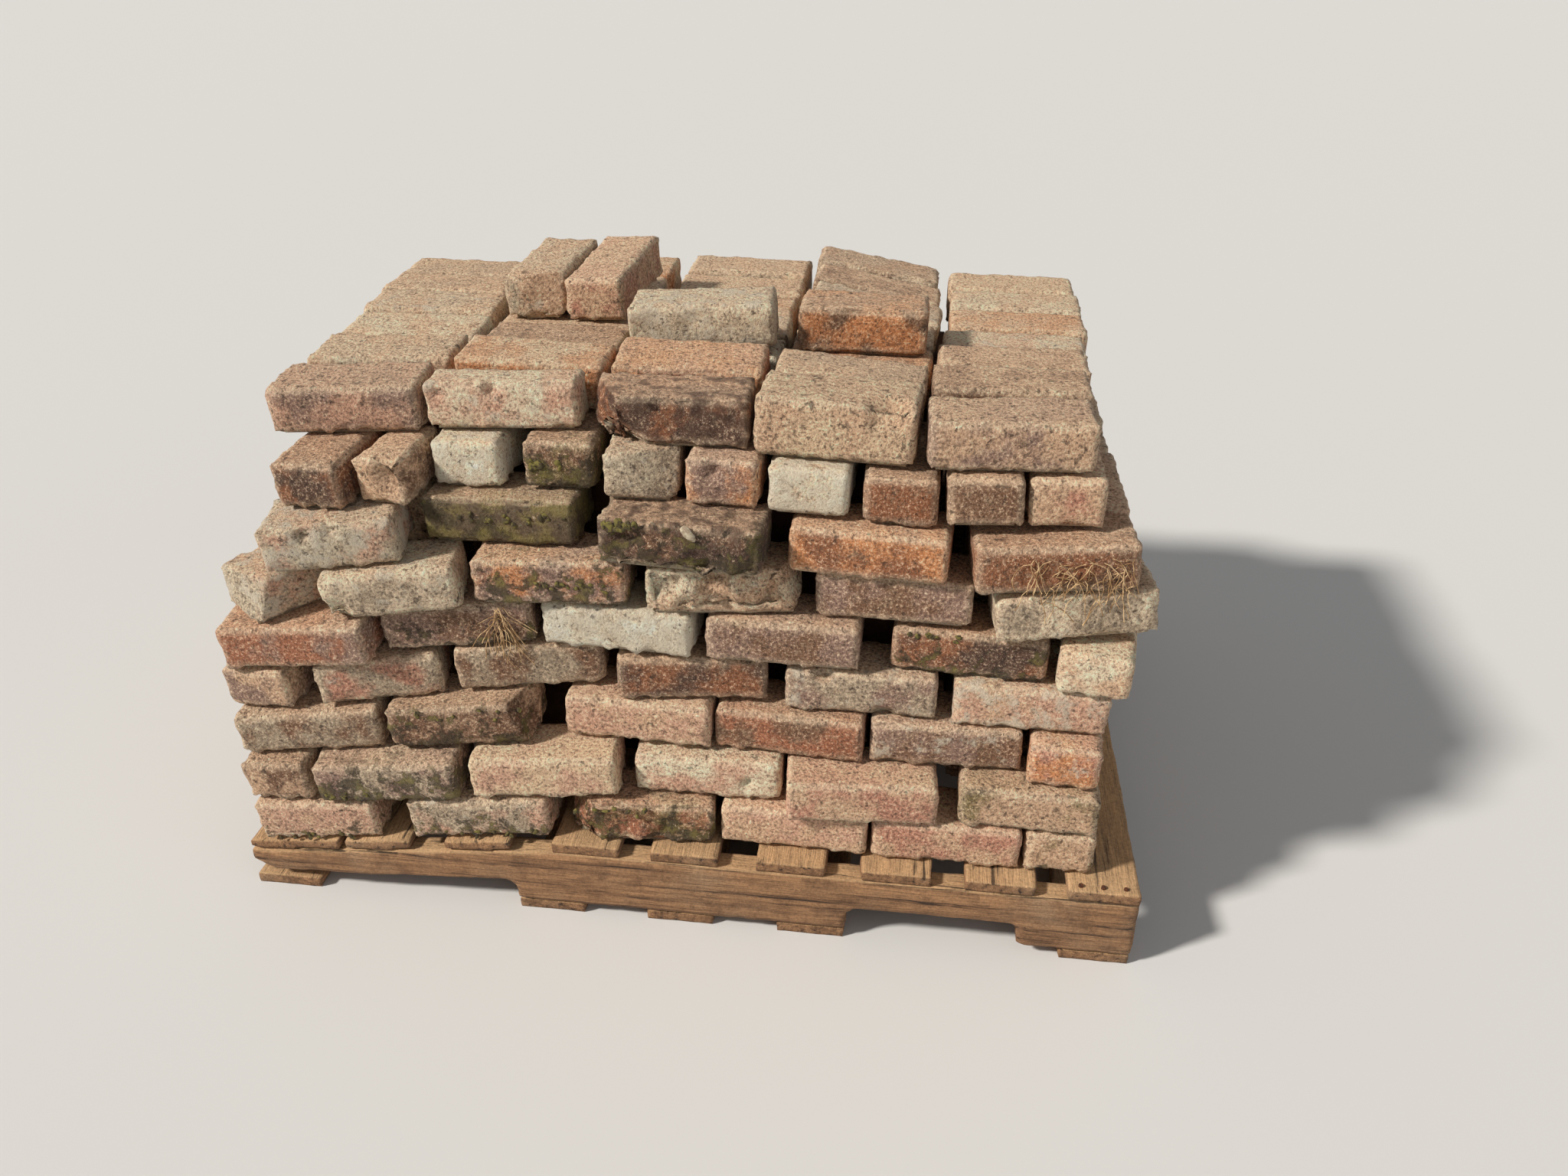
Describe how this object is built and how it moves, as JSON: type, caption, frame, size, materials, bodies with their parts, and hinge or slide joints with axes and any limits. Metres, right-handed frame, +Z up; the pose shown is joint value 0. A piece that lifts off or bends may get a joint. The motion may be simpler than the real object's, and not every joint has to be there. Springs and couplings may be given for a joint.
{
  "type": "pallet of reclaimed bricks",
  "caption": "Wooden stringer pallet, one corner broken and sagging, loaded with dry-stacked old clay bricks in uneven courses with loose bricks on top.",
  "frame": {"origin": "centre of the pallet's footprint, on the underside of the bottom boards", "axes": "+X along the stringers towards the sound right end, +Y away from the broken front corner's side towards the back, +Z up"},
  "size_m": [1.2209, 1.0178, 0.7795],
  "materials": {
    "old_brick": "rough, worn and dusty, with old lime mortar, lichen and moss",
    "brick_core": "rough, in shadow",
    "weathered_wood": "rough sawn, grey and dusty",
    "nail": "rusted"
  },
  "bodies": {
    "root": {"stringer_front": "weathered_wood", "stringer_middle": "weathered_wood", "stringer_back": "weathered_wood", "deck_board_1": "weathered_wood", "deck_board_2": "weathered_wood", "deck_board_3": "weathered_wood", "deck_board_4": "weathered_wood", "deck_board_5": "weathered_wood", "deck_board_6": "weathered_wood", "deck_board_7": "weathered_wood", "deck_board_8": "weathered_wood", "deck_board_9": "weathered_wood", "base_board_1": "weathered_wood", "base_board_2": "weathered_wood", "base_board_3": "weathered_wood", "base_board_4": "weathered_wood", "base_board_5": "weathered_wood", "brick_course_1": "old_brick", "brick_course_2": "old_brick", "brick_course_3": "old_brick", "brick_course_4": "old_brick", "brick_course_5": "old_brick", "brick_course_6": "old_brick", "brick_course_7": "old_brick", "brick_course_8": "old_brick", "brick_course_9": "old_brick", "loose_brick_left": "old_brick", "loose_brick_right": "old_brick", "brick_core": "brick_core"}
  },
  "joints": []
}
